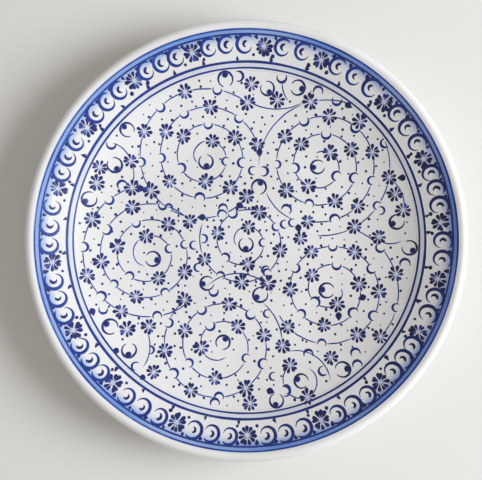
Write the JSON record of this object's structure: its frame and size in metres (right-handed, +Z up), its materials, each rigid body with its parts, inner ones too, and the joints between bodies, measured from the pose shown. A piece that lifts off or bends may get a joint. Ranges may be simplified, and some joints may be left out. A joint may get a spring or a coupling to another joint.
{
  "type": "hand painted ceramic plate",
  "caption": "Round coupe plate on a foot ring, white glazed, painted in cobalt with spiral stems, blossoms and a scroll border.",
  "frame": {"origin": "middle of the foot ring, on the surface that the plate stands on", "axes": "+Z up through the middle of the plate; +Y is the top of the painting, between the two upper spirals; +X its right"},
  "size_m": [0.3, 0.3, 0.0371],
  "materials": {
    "clay_body": "unglazed, fired, slightly rough",
    "face_glaze": "opaque white glaze, glossy",
    "foot_well_glaze": "opaque white glaze, glossy, thin",
    "rim_line": "brushed cobalt colour sunk in the glaze, glossy, darker where the brush paused",
    "rim_wash": "brushed cobalt colour sunk in the glaze, glossy, darker where the brush paused",
    "band_line": "brushed cobalt colour sunk in the glaze, glossy, darker where the brush paused",
    "ring_line_outer": "brushed cobalt colour sunk in the glaze, glossy, darker where the brush paused",
    "ring_wash": "brushed cobalt colour sunk in the glaze, glossy, darker where the brush paused",
    "ring_line_inner": "brushed cobalt colour sunk in the glaze, glossy, darker where the brush paused",
    "border_scrolls": "brushed cobalt colour sunk in the glaze, glossy, darker where the brush paused",
    "border_commas": "brushed cobalt colour sunk in the glaze, glossy, darker where the brush paused",
    "border_blossoms": "brushed cobalt colour sunk in the glaze, glossy, darker where the brush paused",
    "border_drops": "brushed cobalt colour sunk in the glaze, glossy, darker where the brush paused",
    "border_ticks": "brushed cobalt colour sunk in the glaze, glossy, darker where the brush paused",
    "border_dots": "brushed cobalt colour sunk in the glaze, glossy, darker where the brush paused",
    "spiral_stems": "brushed cobalt colour sunk in the glaze, glossy, darker where the brush paused",
    "branch_stems": "brushed cobalt colour sunk in the glaze, glossy, darker where the brush paused",
    "field_blossoms": "brushed cobalt colour sunk in the glaze, glossy, darker where the brush paused",
    "field_crescents": "brushed cobalt colour sunk in the glaze, glossy, darker where the brush paused",
    "field_leaves": "brushed cobalt colour sunk in the glaze, glossy, darker where the brush paused",
    "field_buds": "brushed cobalt colour sunk in the glaze, glossy, darker where the brush paused",
    "field_dots": "brushed cobalt colour sunk in the glaze, glossy, darker where the brush paused"
  },
  "bodies": {
    "root": {"clay_body": "clay_body", "face_glaze": "face_glaze", "foot_well_glaze": "foot_well_glaze", "rim_line": "rim_line", "rim_wash": "rim_wash", "band_line": "band_line", "ring_line_outer": "ring_line_outer", "ring_wash": "ring_wash", "ring_line_inner": "ring_line_inner", "border_scrolls": "border_scrolls", "border_commas": "border_commas", "border_blossoms": "border_blossoms", "border_drops": "border_drops", "border_ticks": "border_ticks", "border_dots": "border_dots", "spiral_stems": "spiral_stems", "branch_stems": "branch_stems", "field_blossoms": "field_blossoms", "field_crescents": "field_crescents", "field_leaves": "field_leaves", "field_buds": "field_buds", "field_dots": "field_dots"}
  },
  "joints": []
}
